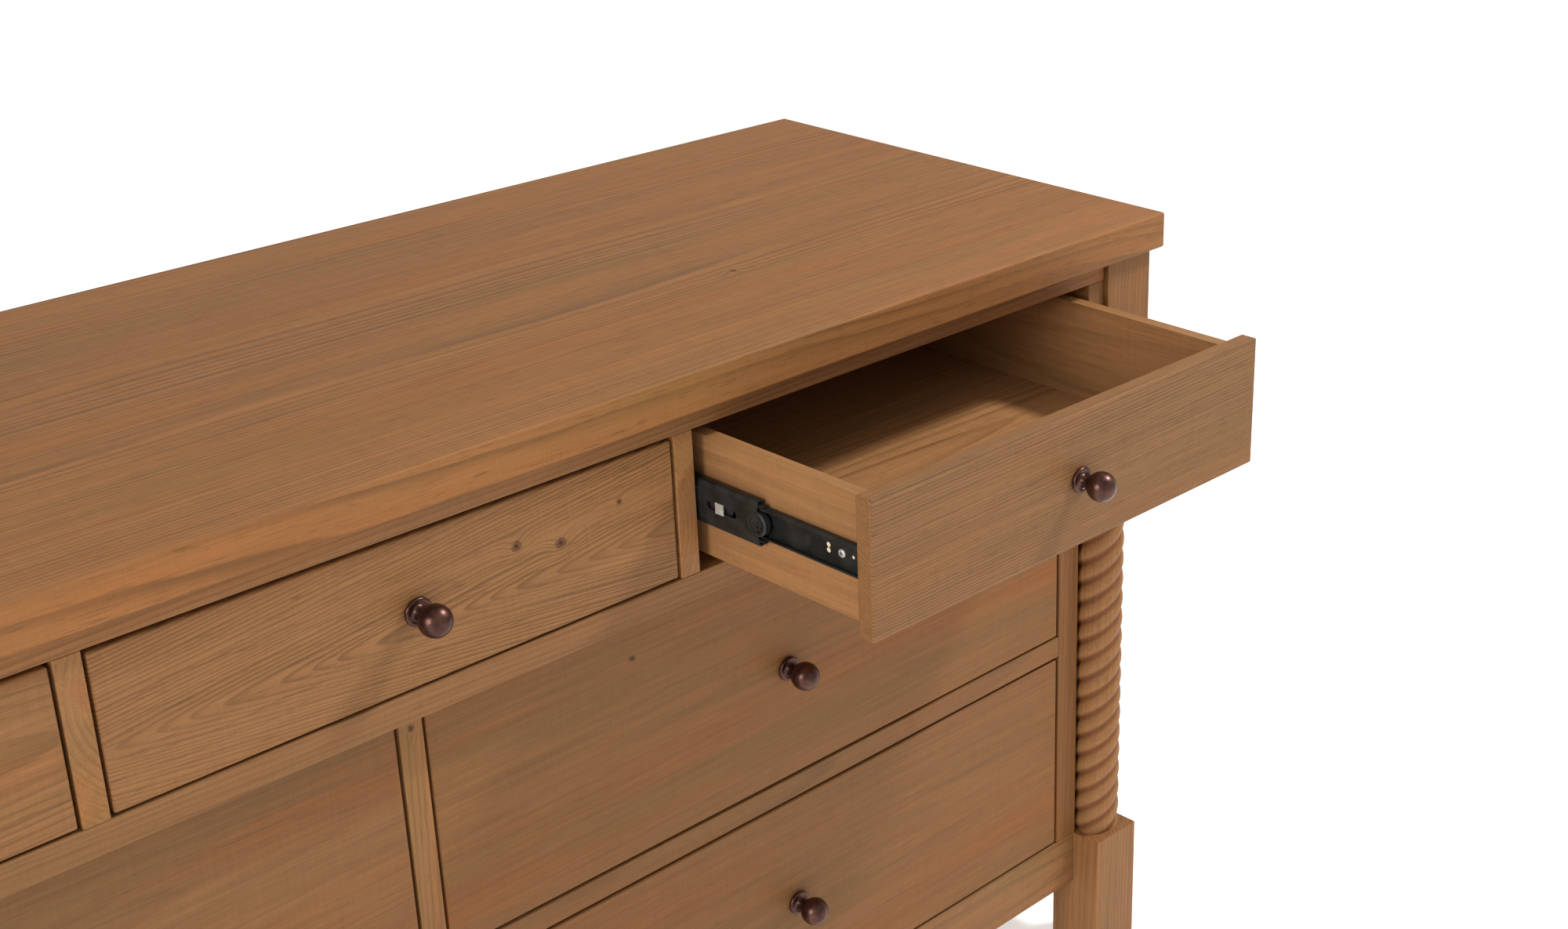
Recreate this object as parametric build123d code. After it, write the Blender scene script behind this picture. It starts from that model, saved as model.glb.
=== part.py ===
"""Seven-drawer pine dresser with rope-twist corner columns.

Frame: X to the right, Y to the back, Z up, millimetres. The origin is on the floor, under the
centre of the object as stored, with the right-hand top drawer pulled part of the way out.
The upper tier holds three small drawers side by side, and the lower tier, set back a little,
holds two columns of two wide drawers. Every drawer runs on a pair of three-member ball slides.
"""
import os

from build123d import *

# ---------------------------------------------------------------- driving dimensions
HEIGHT = 805.0            # floor to the top surface
TOP_WIDTH = 1626.0        # top board, side to side
TOP_DEPTH = 521.0         # top board, front to back
TOP_THICK = 33.5
OVERHANG = 9.5            # top board past the corner blocks, at the front and the sides
BACK_OVERHANG = 5.0       # top board past the rear posts
BLOCK = 60.0              # square section of corner blocks, legs and rear posts
BLOCK_PROUD = 5.0         # faces of blocks and legs in front of the upper tier's rails
SETBACK = 27.5            # lower tier's front behind the upper tier's rails

TOP_RAIL_H = 18.8
ROW1_H = 121.0            # opening heights, from the top row down
MID_RAIL_H = 22.5
TIER_RAIL_H = 9.0         # lower tier's own top rail, under the middle rail
ROW2_H = 216.0
LOW_RAIL_H = 21.0
ROW3_H = 216.0
BASE_RAIL_H = 58.0

BOARD = 18.0              # general board thickness
DIVIDER = 18.5
CENTRE_STILE_W = 20.0
TOP_STILE_W = 22.0        # upper tier's stile, beside the corner block
CORNER_STILE_W = 28.0     # lower tier's stile, beside the column
NICHE_W = 58.5            # open corner round each column, from the corner stile to the block's side
COLUMN_R = 24.4           # over the ridges of the twist
PANEL_INSET = 8.0         # side panels behind the faces of the posts
CLEAT_HALF = 30.0         # half the height of the boards that carry the slides
BACK_PANEL_T = 6.0

FRONT_THICK = 16.0
FRONT_SET = 0.5           # closed fronts behind the frame's face
GAP_TOP = 3.3
GAP_BOTTOM = 2.1
GAP_SIDE = 2.7
BOX_LENGTH = 410.0        # drawer sides, front to back
BOX_WALL = 12.0
BOX_BELOW_TOP = 6.0       # drawer sides below the front's upper edge
BOX_ABOVE_BOTTOM = 7.0
BOTTOM_THICK = 6.0
BOTTOM_RAISE = 8.0        # drawer bottom above the lower edge of the sides
BACK_DROP = 8.0           # drawer back below the sides' upper edge

SLIDE_SPACE = 12.7        # each side, between the case and the drawer box
SLIDE_LENGTH = 400.0
SLIDE_STEEL = 1.2
CABINET_MEMBER_H = 46.0
MIDDLE_MEMBER_H = 38.5
DRAWER_MEMBER_H = 27.0
OPEN_OUT = 192.0          # how far the right-hand top drawer is pulled out as stored

KNOB_BALL_R = 12.4
KNOB_BALL_OUT = 22.0      # centre of the ball in front of the drawer front
ROSETTE_R = 11.1
NECK_R = 4.2
KNOB_SCREW_R = 2.0
SCREW_HEAD_R = 3.5
SCREW_SHANK_R = 1.8

EASE = 1.0                # eased arris on frame pieces
FRONT_EASE = 1.8          # eased arris on drawer fronts
TOP_EASE = 2.5            # eased arris on the top board

# ---------------------------------------------------------------- levels and planes
Z_TOP = HEIGHT - TOP_THICK
Z_ROW1_HI = Z_TOP - TOP_RAIL_H
Z_ROW1_LO = Z_ROW1_HI - ROW1_H
Z_TIER = Z_ROW1_LO - MID_RAIL_H
Z_ROW2_HI = Z_TIER - TIER_RAIL_H
Z_ROW2_LO = Z_ROW2_HI - ROW2_H
Z_ROW3_HI = Z_ROW2_LO - LOW_RAIL_H
Z_ROW3_LO = Z_ROW3_HI - ROW3_H
Z_BASE = Z_ROW3_LO - BASE_RAIL_H
Z_TIER_DECK = Z_ROW1_LO - 2.0

# Front to back, the whole object reaches from the open drawer's knob to the top board's back edge.
KNOB_REACH = OPEN_OUT - FRONT_SET + KNOB_BALL_OUT + KNOB_BALL_R
Y_FACE = (KNOB_REACH - (TOP_DEPTH - OVERHANG - BLOCK_PROUD)) / 2      # upper tier's rails
Y_BLOCK = Y_FACE - BLOCK_PROUD
Y_LOWER = Y_FACE + SETBACK
Y_BACK = Y_BLOCK + TOP_DEPTH - OVERHANG - BACK_OVERHANG
Y_RAIL_BACK = Y_BLOCK + BLOCK
Y_PANEL_FACE = Y_BACK - BACK_PANEL_T - 6.0

X_OUT = TOP_WIDTH / 2 - OVERHANG            # outer face of blocks and posts
X_BLOCK = X_OUT - BLOCK                     # inner face of blocks and posts
X_NICHE = X_OUT - NICHE_W                   # outer face of the corner stile
X_STILE = X_NICHE - CORNER_STILE_W          # inner face of the corner stile
X_TOP_STILE = X_BLOCK - TOP_STILE_W         # inner face of the upper tier's stile
ROW1_W = (2 * X_TOP_STILE - 2 * DIVIDER) / 3    # width of each small opening
ROW2_W = X_STILE - CENTRE_STILE_W / 2       # width of each wide opening

# name, left edge of the opening, width, bottom, height, front plane, how far out it is stored
DRAWERS = [
    (f"top_{side}", -X_TOP_STILE + i * (ROW1_W + DIVIDER), ROW1_W, Z_ROW1_LO, ROW1_H, Y_FACE,
     OPEN_OUT if side == "right" else 0.0)
    for i, side in enumerate(("left", "middle", "right"))
] + [
    (f"{row}_{side}", x, ROW2_W, z, h, Y_LOWER, 0.0)
    for row, z, h in (("middle", Z_ROW2_LO, ROW2_H), ("bottom", Z_ROW3_LO, ROW3_H))
    for side, x in (("left", -X_STILE), ("right", CENTRE_STILE_W / 2))
]


# ---------------------------------------------------------------- helpers
def board(x0, x1, y0, y1, z0, z1, ease=0.0):
    """A rectangular board between two corners, with every arris eased if asked."""
    solid = Pos((x0 + x1) / 2, (y0 + y1) / 2, (z0 + z1) / 2) * Box(x1 - x0, y1 - y0, z1 - z0)
    return fillet(solid.edges(), ease) if ease else solid


def mirrored(solid):
    """The same piece on the left-hand side."""
    return mirror(solid, about=Plane.YZ)


def save(node, *solids):
    """Write one node: one solid, or a group of separate solids."""
    shape = solids[0] if len(solids) == 1 else Compound(children=list(solids))
    export_step(shape, f"parts/{node}.step")


def rod(radius, x, y0, y1, z):
    """A round bar along Y."""
    return Pos(x, (y0 + y1) / 2, z) * Rot(90, 0, 0) * Cylinder(radius, y1 - y0)


def rod_x(radius, x0, x1, y, z):
    """A round bar along X."""
    return Pos((x0 + x1) / 2, y, z) * Rot(0, 90, 0) * Cylinder(radius, x1 - x0)


# ---------------------------------------------------------------- case
def make_top():
    y_front = Y_BLOCK - OVERHANG
    half = TOP_WIDTH / 2
    save("top_board", board(-half, half, y_front, y_front + TOP_DEPTH, Z_TOP, HEIGHT, TOP_EASE))


def make_rails():
    save("top_rail", board(-X_BLOCK, X_BLOCK, Y_FACE, Y_RAIL_BACK, Z_ROW1_HI, Z_TOP, EASE))
    save("middle_rail", board(-X_BLOCK, X_BLOCK, Y_FACE, Y_RAIL_BACK, Z_TIER, Z_ROW1_LO, EASE))
    tier = board(-X_NICHE, X_NICHE, Y_LOWER, Y_RAIL_BACK, Z_ROW2_HI, Z_TIER, EASE)
    low = board(CENTRE_STILE_W / 2, X_STILE, Y_LOWER, Y_RAIL_BACK, Z_ROW3_HI, Z_ROW2_LO, EASE)
    save("lower_rails", tier, low, mirrored(low))
    save("base_rail", board(-X_BLOCK, X_BLOCK, Y_LOWER, Y_LOWER + BOARD, Z_BASE, Z_ROW3_LO, EASE))


def make_uprights():
    half = CENTRE_STILE_W / 2
    save("centre_stile", board(-half, half, Y_LOWER, Y_RAIL_BACK, Z_ROW3_LO, Z_ROW2_HI, EASE))
    upper = board(X_TOP_STILE, X_BLOCK, Y_FACE, Y_RAIL_BACK, Z_ROW1_LO, Z_ROW1_HI, EASE)
    lower = board(X_STILE, X_NICHE, Y_LOWER, Y_RAIL_BACK + BOARD, Z_ROW3_LO, Z_ROW2_HI, EASE)
    save("corner_stiles", upper, lower, mirrored(upper), mirrored(lower))
    block = board(X_BLOCK, X_OUT, Y_BLOCK, Y_RAIL_BACK, Z_TIER, Z_TOP, EASE)
    save("corner_blocks", block, mirrored(block))
    leg = board(X_BLOCK, X_OUT, Y_BLOCK, Y_RAIL_BACK, 0, Z_ROW3_LO, EASE)
    save("front_legs", leg, mirrored(leg))
    post = board(X_BLOCK, X_OUT, Y_BACK - BLOCK, Y_BACK, 0, Z_TOP, EASE)
    save("rear_posts", post, mirrored(post))


def make_columns():
    """Round columns between the corner blocks and the legs; the twist is cut into their surface."""
    axis = X_OUT - BLOCK / 2
    for side, x in (("left", -axis), ("right", axis)):
        place = Pos(x, Y_BLOCK + BLOCK / 2, (Z_ROW3_LO + Z_TIER) / 2)
        save(f"twist_column_{side}", place * Cylinder(COLUMN_R, Z_TIER - Z_ROW3_LO))


def make_panels():
    """Side panels of both tiers, the boards behind the open corners, and the back."""
    x1 = X_OUT - PANEL_INSET
    x0 = x1 - BOARD
    y1 = Y_BACK - BLOCK
    upper = board(x0, x1, Y_RAIL_BACK, y1, Z_TIER, Z_TOP)
    lower = board(x0, x1, Y_RAIL_BACK + BOARD, y1, Z_BASE, Z_TIER)
    corner = board(X_NICHE, x1, Y_RAIL_BACK, Y_RAIL_BACK + BOARD, Z_BASE, Z_TIER)
    panels = [upper, lower, corner]
    save("side_panels", *panels, *[mirrored(panel) for panel in panels])
    save("back_panel", board(-X_BLOCK, X_BLOCK, Y_PANEL_FACE, Y_PANEL_FACE + BACK_PANEL_T, Z_BASE, Z_TOP))


def deck(z_top, steps):
    """A horizontal board, notched round the uprights: half widths, each with its two depths."""
    strips = [board(-half, half, y0, y1, z_top - BOARD, z_top) for half, y0, y1 in steps]
    return strips[0] + strips[1:]


def make_inside():
    """The decks under the two tiers, and the partitions that stand on them between drawers."""
    x1 = X_OUT - PANEL_INSET - BOARD
    y_post = Y_BACK - BLOCK
    rear_strip = (X_BLOCK, y_post, Y_PANEL_FACE)
    y_corner = Y_RAIL_BACK + BOARD
    tier_deck = deck(Z_TIER_DECK, [(x1, Y_RAIL_BACK, y_post), rear_strip])
    base_deck = deck(Z_ROW3_LO, [(X_BLOCK, Y_LOWER + BOARD, Y_RAIL_BACK), (X_NICHE, Y_RAIL_BACK, y_corner),
                                 (x1, y_corner, y_post), rear_strip])
    save("decks", tier_deck, base_deck)
    inner = ROW1_W / 2
    divider = board(inner, inner + DIVIDER, Y_FACE, Y_PANEL_FACE, Z_ROW1_LO, Z_ROW1_HI, EASE)
    half = CENTRE_STILE_W / 2
    centre = board(-half, half, Y_RAIL_BACK, Y_PANEL_FACE, Z_ROW3_LO, Z_TIER_DECK - BOARD)
    save("partitions", divider, mirrored(divider), centre)


def make_cleats():
    """Boards that carry the outer slides, in line with the inner faces of blocks and stiles."""
    cleats = []
    for _, x, width, z, height, face, _ in DRAWERS:
        upper = face == Y_FACE
        x_inner = X_TOP_STILE if upper else X_STILE
        y0 = Y_RAIL_BACK if upper else Y_RAIL_BACK + BOARD
        z_mid = slide_level(z, height)
        at_right = abs(x + width - x_inner) < 1
        at_left = abs(x + x_inner) < 1
        if at_right or at_left:
            cleat = board(x_inner, x_inner + BOARD, y0, Y_PANEL_FACE, z_mid - CLEAT_HALF, z_mid + CLEAT_HALF)
            cleats.append(cleat if at_right else mirrored(cleat))
    save("slide_cleats", *cleats)


# ---------------------------------------------------------------- ball slides
def slide_level(z, height):
    """Height of a slide's centre line: the middle of the drawer's sides."""
    z0 = z + GAP_BOTTOM + BOX_ABOVE_BOTTOM
    z1 = z + height - GAP_TOP - BOX_BELOW_TOP
    return (z0 + z1) / 2


def channel(u0, u1, outer_height, web_at, y0, y1, z_mid):
    """A folded steel channel along Y. u runs from the case towards the drawer."""
    half = outer_height / 2
    body = board(u0, u1, y0, y1, z_mid - half, z_mid + half)
    inner = half - SLIDE_STEEL
    web0 = u0 + SLIDE_STEEL if web_at == "case" else u0 - 1
    web1 = u1 + 1 if web_at == "case" else u1 - SLIDE_STEEL
    return body - board(web0, web1, y0 - 1, y1 + 1, z_mid - inner, z_mid + inner)


def both_sides(piece, x, width):
    """Place a piece modelled for the left slide, with u = 0 on the case, at both sides of a drawer."""
    left = Pos(x, 0, 0) * piece
    right = Pos(x + width, 0, 0) * mirror(piece, about=Plane.YZ)
    return [left, right]


def screw_places(y0):
    """Distances along a drawer member where it is screwed to the side."""
    return [y0 + 24.0, y0 + 150.0, y0 + 330.0]


def make_cabinet_members():
    members = []
    for _, x, width, z, height, face, _ in DRAWERS:
        y0 = face + FRONT_SET + FRONT_THICK + 2.0
        z_mid = slide_level(z, height)
        piece = channel(0, 10.4, CABINET_MEMBER_H, "case", y0, y0 + SLIDE_LENGTH, z_mid)
        members += both_sides(piece, x, width)
    save("cabinet_slides", *members)


def middle_member(y0, z_mid):
    """Middle member: a channel with a raised web panel and a slot for the release tab."""
    piece = channel(2.6, 11.0, MIDDLE_MEMBER_H, "case", y0, y0 + SLIDE_LENGTH - 6, z_mid)
    slot = board(2.0, 4.5, y0 + 33, y0 + 67, z_mid - 3.2, z_mid + 3.2)
    return piece - slot


def drawer_member(y0, z_mid):
    """Drawer member: a channel open to the case, with two oblong holes near its front end."""
    piece = channel(5.4, SLIDE_SPACE, DRAWER_MEMBER_H, "drawer", y0, y0 + SLIDE_LENGTH, z_mid)
    for distance, radius, dz in ((39.0, 2.1, 2.2), (39.0, 2.1, -2.2), (12.6, 1.5, 0.0)):
        piece = piece - rod_x(radius, 10, 14, y0 + distance, z_mid + dz)
    for y in screw_places(y0):
        piece = piece - rod_x(SCREW_SHANK_R, 10, 14, y, z_mid)
    return piece


def side_screw(y, z_mid):
    """Pan-head screw through the drawer member into the drawer's side."""
    head_base = SLIDE_SPACE - SLIDE_STEEL
    head = rod_x(SCREW_HEAD_R, head_base - 1.6, head_base, y, z_mid)
    head = fillet(head.edges().sort_by(Axis.X)[0], 1.0)
    shank = rod_x(SCREW_SHANK_R, head_base, SLIDE_SPACE + BOX_WALL - 2.0, y, z_mid)
    return head + shank


# ---------------------------------------------------------------- drawers
def knob():
    """Turned knob along -Y with its foot at the origin: stepped rosette, neck and ball."""
    ball = Pos(0, -KNOB_BALL_OUT, 0) * Sphere(KNOB_BALL_R)
    with BuildPart() as turned:
        with BuildSketch(Plane.XY):
            with BuildLine():
                Polyline((0, 0), (ROSETTE_R, 0), (ROSETTE_R, -1.4))
                ThreePointArc((ROSETTE_R, -1.4), (ROSETTE_R - 0.9, -3.3), (ROSETTE_R - 2.8, -4.2))
                Line((ROSETTE_R - 2.8, -4.2), (6.6, -4.2))
                ThreePointArc((6.6, -4.2), (4.8, -5.8), (NECK_R, -8.0))
                Polyline((NECK_R, -8.0), (NECK_R, -14.0), (0, -14.0), (0, 0))
            make_face()
        revolve(axis=Axis.Y)
    body = turned.part + ball
    return body - rod(KNOB_SCREW_R, 0, -12.0, 1.0, 0)


def knob_screw():
    """Machine screw from inside the drawer, through the front, into the knob."""
    shank = rod(KNOB_SCREW_R, 0, -12.0, FRONT_THICK, 0)
    head = rod(4.2, 0, FRONT_THICK, FRONT_THICK + 2.4, 0)
    return shank + head


def make_drawer(name, x, width, z, height, face, out):
    """One drawer: front, box, bottom, knob with its screw, and its slide members with screws."""
    y_front = face + FRONT_SET - out
    y0 = y_front + FRONT_THICK
    fx0, fx1 = x + GAP_SIDE, x + width - GAP_SIDE
    fz0, fz1 = z + GAP_BOTTOM, z + height - GAP_TOP
    x_mid, z_mid = (fx0 + fx1) / 2, (fz0 + fz1) / 2
    front = board(fx0, fx1, y_front, y0, fz0, fz1, FRONT_EASE)
    save(f"{name}_front", front - rod(KNOB_SCREW_R, x_mid, y_front - 1, y0 + 1, z_mid))

    z0, z1 = fz0 + BOX_ABOVE_BOTTOM, fz1 - BOX_BELOW_TOP
    side_x = x + SLIDE_SPACE
    level = slide_level(z, height)
    side = board(side_x, side_x + BOX_WALL, y0, y0 + BOX_LENGTH, z0, z1)
    for y in screw_places(y0):
        side = side - rod_x(SCREW_SHANK_R, side_x - 1, side_x + BOX_WALL - 2.0, y, level)
    other = Pos(2 * x_mid, 0, 0) * mirrored(side)
    inner0, inner1 = side_x + BOX_WALL, 2 * x_mid - side_x - BOX_WALL
    back = board(inner0, inner1, y0 + BOX_LENGTH - BOX_WALL, y0 + BOX_LENGTH, z0, z1 - BACK_DROP)
    save(f"{name}_box", side, other, back)
    floor = z0 + BOTTOM_RAISE
    save(f"{name}_bottom",
         board(inner0, inner1, y0, y0 + BOX_LENGTH - BOX_WALL, floor, floor + BOTTOM_THICK))

    place = Pos(x_mid, y_front, z_mid)
    save(f"{name}_knob", place * knob(), place * knob_screw())

    members = both_sides(drawer_member(y0, level), x, width)
    for y in screw_places(y0):
        members += both_sides(side_screw(y, level), x, width)
    save(f"{name}_slides", *members)
    closed = face + FRONT_SET + FRONT_THICK + 3.0
    save(f"{name}_mid_slides", *both_sides(middle_member(closed - out / 2, level), x, width))


def main():
    os.makedirs("parts", exist_ok=True)
    make_top()
    make_rails()
    make_uprights()
    make_columns()
    make_panels()
    make_inside()
    make_cleats()
    make_cabinet_members()
    for drawer in DRAWERS:
        make_drawer(*drawer)
    print("face", round(Y_FACE, 2), "lower face", round(Y_LOWER, 2), "back", round(Y_BACK, 2))
    print("small opening", round(ROW1_W, 2), "wide opening", round(ROW2_W, 2))


main()
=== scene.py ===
# %% [markdown]
# # A pine dresser with rope-twist columns
# The working model of the dresser is already made: seven drawers that slide on steel runners, in a
# case with two carved columns. This script dresses it. Boards keep their shape and get a pine
# finish, and the turned, carved and folded pieces are made again here in finer detail.

# %% Load the frame
import math

import bmesh
import bpy
from mathutils import Euler, Matrix, Vector


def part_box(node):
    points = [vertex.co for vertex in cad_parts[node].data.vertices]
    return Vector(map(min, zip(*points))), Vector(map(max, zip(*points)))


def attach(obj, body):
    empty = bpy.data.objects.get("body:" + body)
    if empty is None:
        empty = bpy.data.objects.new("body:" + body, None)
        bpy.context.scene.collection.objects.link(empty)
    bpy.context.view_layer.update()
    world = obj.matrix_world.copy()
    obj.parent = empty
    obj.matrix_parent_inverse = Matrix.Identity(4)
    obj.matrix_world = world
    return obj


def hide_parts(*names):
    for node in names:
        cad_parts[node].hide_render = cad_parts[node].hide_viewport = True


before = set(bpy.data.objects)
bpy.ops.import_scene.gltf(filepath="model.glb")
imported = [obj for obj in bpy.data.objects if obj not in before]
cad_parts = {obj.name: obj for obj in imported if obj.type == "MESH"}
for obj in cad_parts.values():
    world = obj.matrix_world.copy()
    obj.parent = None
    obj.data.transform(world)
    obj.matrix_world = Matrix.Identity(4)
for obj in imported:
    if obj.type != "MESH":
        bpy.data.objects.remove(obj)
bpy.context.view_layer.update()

MM = 0.001
DRAWERS = [n[: -len("_front")] for n in sorted(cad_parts) if n.endswith("_front")]
print("drawers:", ", ".join(DRAWERS))


# %% [markdown]
# ## Short hands for node trees
# Every finish below is a node tree. A tree in code is easier to read when each step is one call
# that returns its output, so this small class adds a node, sets what is given as a number and
# links what is given as a socket.

# %% Node tree helper
class Tree:
    """Adds nodes to one tree and joins them up."""

    def __init__(self, tree):
        self.tree = tree

    def node(self, kind, inputs=None, **settings):
        made = self.tree.nodes.new(kind)
        for name, value in settings.items():
            setattr(made, name, value)
        for name, value in (inputs or {}).items():
            if isinstance(value, bpy.types.NodeSocket):
                self.tree.links.new(value, made.inputs[name])
            else:
                made.inputs[name].default_value = value
        return made

    def math(self, operation, a, b=0.0, c=0.0, clamp=False):
        return self.node("ShaderNodeMath", {0: a, 1: b, 2: c}, operation=operation,
                         use_clamp=clamp).outputs[0]

    def ease(self, value, low, high, to_low=0.0, to_high=1.0):
        """Smooth step from one level to another."""
        return self.node("ShaderNodeMapRange", {"Value": value, "From Min": low, "From Max": high,
                                                "To Min": to_low, "To Max": to_high},
                         interpolation_type="SMOOTHSTEP").outputs[0]

    def spread(self, vector, along, across, seed=0.0):
        """Stretch a pattern: cycles per metre along the grain and across it, moved by a seed."""
        scaled = self.node("ShaderNodeVectorMath", {0: vector, 1: (along, across, across)},
                           operation="MULTIPLY").outputs[0]
        shift = self.node("ShaderNodeCombineXYZ", {"X": seed, "Y": seed, "Z": seed}).outputs[0]
        return self.node("ShaderNodeVectorMath", {0: scaled, 1: shift}, operation="ADD").outputs[0]

    def noise(self, vector, detail=2.0, roughness=0.5):
        return self.node("ShaderNodeTexNoise", {"Vector": vector, "Scale": 1.0, "Detail": detail,
                                                "Roughness": roughness}).outputs["Fac"]

    def mix(self, share, a, b):
        made = self.node("ShaderNodeMix", data_type="RGBA")
        for place, value in ((0, share), (6, a), (7, b)):
            if isinstance(value, bpy.types.NodeSocket):
                self.tree.links.new(value, made.inputs[place])
            else:
                made.inputs[place].default_value = value
        return made.outputs[2]


def paint(red, green, blue):
    """A colour as it is read off a paint chart, 0 to 255, turned into light."""
    def light(c):
        c /= 255
        return c / 12.92 if c <= 0.04045 else ((c + 0.055) / 1.055) ** 2.4
    return (light(red), light(green), light(blue), 1.0)


# %% [markdown]
# ## The grain of pine
# A board is sawn from a trunk, so its figure is a slice through nested cones: the yearly rings.
# Drawing lines on each face would break at the corners. Here the rings are worked out in space
# from the distance to the heart of the trunk, which lies somewhere behind the board, so faces,
# edges and end grain agree, and a heart close behind the face gives the arches of a cathedral.
# Inputs are in metres along the grain (X), across the face (Y) and into the board (Z).

# %% Pine grain group
COOL_WOOD = paint(136, 98, 63)
WARM_WOOD = paint(146, 97, 54)
LATE_WOOD = paint(92, 62, 34)
STAIN_ORANGE = paint(154, 90, 44)
STAIN_OLIVE = paint(122, 94, 52)
KNOT_WOOD = paint(66, 36, 26)


def pine_grain():
    group = bpy.data.node_groups.new("pine_grain", "ShaderNodeTree")
    face = group.interface
    face.new_socket("Vector", in_out="INPUT", socket_type="NodeSocketVector")
    for name, value in (("Seed", 0.0), ("Plank", 10.0), ("Ring", 0.004), ("Heart", 0.0), ("Depth", 0.05),
                        ("Taper", 0.02), ("Wander", 0.010), ("Push", 0.0), ("Knot", 0.0),
                        ("Lines", 0.6), ("Orange", 0.5), ("Olive", 0.5), ("Tone", 1.0), ("Warmth", 0.3)):
        face.new_socket(name, in_out="INPUT", socket_type="NodeSocketFloat").default_value = value
    face.new_socket("Color", in_out="OUTPUT", socket_type="NodeSocketColor")
    for name in ("Late", "Fibre"):
        face.new_socket(name, in_out="OUTPUT", socket_type="NodeSocketFloat")
    t = Tree(group)
    get = t.node("NodeGroupInput").outputs
    seed = t.math("MULTIPLY", get["Seed"], 7.31)
    place = t.node("ShaderNodeSeparateXYZ", {0: get["Vector"]}).outputs

    # planks glued edge to edge, each from another tree
    index = t.math("FLOOR", t.math("ADD", t.math("DIVIDE", place["Y"], get["Plank"]), 0.5))
    across = t.math("SUBTRACT", place["Y"], t.math("MULTIPLY", index, get["Plank"]))
    lot = t.node("ShaderNodeTexWhiteNoise", {"Vector": t.node("ShaderNodeCombineXYZ", {
        "X": index, "Y": seed}).outputs[0]}, noise_dimensions="3D")
    lots = t.node("ShaderNodeSeparateColor", {0: lot.outputs["Color"]}).outputs
    plank_seed = t.math("ADD", seed, t.math("MULTIPLY", index, 3.7))
    local = t.node("ShaderNodeCombineXYZ", {"X": place["X"], "Y": across, "Z": place["Z"]}).outputs[0]

    # distance to the heart, with the slow wander of a real trunk
    planked = t.math("LESS_THAN", get["Plank"], 5.0)
    shift = t.math("MULTIPLY", t.math("MULTIPLY", t.math("SUBTRACT", lots[0], 0.5), 0.06), planked)
    side = t.math("SUBTRACT", across, t.math("ADD", get["Heart"], shift))
    deeper = t.math("ADD", t.math("MULTIPLY", t.math("SUBTRACT", lots[1], 0.5), planked), 1.0)
    below = t.math("ADD", place["Z"], t.math("MULTIPLY", get["Depth"], deeper))
    radius = t.math("SQRT", t.math("ADD", t.math("MULTIPLY", side, side),
                                   t.math("MULTIPLY", below, below)))
    slow = t.math("SUBTRACT", t.noise(t.spread(local, 1.7, 6.0, plank_seed), 1.0), 0.5)
    quick = t.math("SUBTRACT", t.noise(t.spread(local, 7.0, 30.0, plank_seed), 2.0), 0.5)
    bent = t.math("ADD", t.math("MULTIPLY", slow, get["Wander"]),
                  t.math("MULTIPLY", quick, t.math("MULTIPLY", get["Wander"], 0.16)))
    rings = t.math("ADD", t.math("ADD", radius, t.math("MULTIPLY", place["X"], get["Taper"])),
                   t.math("ADD", bent, get["Push"]))
    years = t.math("DIVIDE", rings, get["Ring"])
    drift = t.node("ShaderNodeCombineXYZ", {"X": t.math("MULTIPLY", rings, 90.0), "Y": plank_seed})
    uneven = t.noise(drift.outputs[0], 1.0)
    year = t.math("FRACT", t.math("ADD", years, t.math("MULTIPLY", uneven, 2.2)))
    rise = t.ease(year, 0.18, 0.90)
    late = t.math("MULTIPLY", t.math("MULTIPLY", rise, rise), t.ease(year, 0.90, 1.0, 1.0, 0.0))
    patches = t.noise(t.spread(local, 2.1, 24.0, t.math("ADD", plank_seed, 4.0)), 3.0)
    fade = t.ease(patches, 0.32, 0.66, 0.30, 1.0)
    late = t.math("MULTIPLY", late, fade)

    # fibres and short pores run along the grain
    fine = t.noise(t.spread(local, 14.0, 700.0, plank_seed), 3.0, 0.65)
    coarse = t.noise(t.spread(local, 5.0, 150.0, t.math("ADD", plank_seed, 2.0)), 3.0, 0.6)
    fibre = t.math("ADD", t.math("MULTIPLY", fine, 0.55), t.math("MULTIPLY", coarse, 0.45))
    pores = t.ease(t.noise(t.spread(local, 45.0, 900.0, plank_seed), 1.0), 0.60, 0.72)

    # stain takes unevenly: warm and grey-green clouds drawn out along the board
    warm_cloud = t.noise(t.spread(local, 1.6, 17.0, t.math("ADD", plank_seed, 9.0)), 4.0, 0.6)
    cool_cloud = t.noise(t.spread(local, 2.2, 24.0, t.math("ADD", plank_seed, 17.0)), 4.0, 0.6)
    warm, cool = t.ease(warm_cloud, 0.44, 0.74), t.ease(cool_cloud, 0.44, 0.72)
    colour = t.mix(get["Warmth"], COOL_WOOD, WARM_WOOD)
    colour = t.mix(t.math("MULTIPLY", warm, get["Orange"]), colour, STAIN_ORANGE)
    colour = t.mix(t.math("MULTIPLY", cool, get["Olive"]), colour, STAIN_OLIVE)
    colour = t.mix(t.math("MULTIPLY", late, get["Lines"]), colour, LATE_WOOD)
    pore_share = t.math("ADD", t.math("MULTIPLY", get["Lines"], 0.5), 0.12)
    colour = t.mix(t.math("MULTIPLY", pores, pore_share), colour, LATE_WOOD)
    tone = t.math("ADD", t.math("MULTIPLY", fibre, 0.95),
                  t.math("ADD", 0.475, t.math("MULTIPLY", lots[2], 0.10)))
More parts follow.
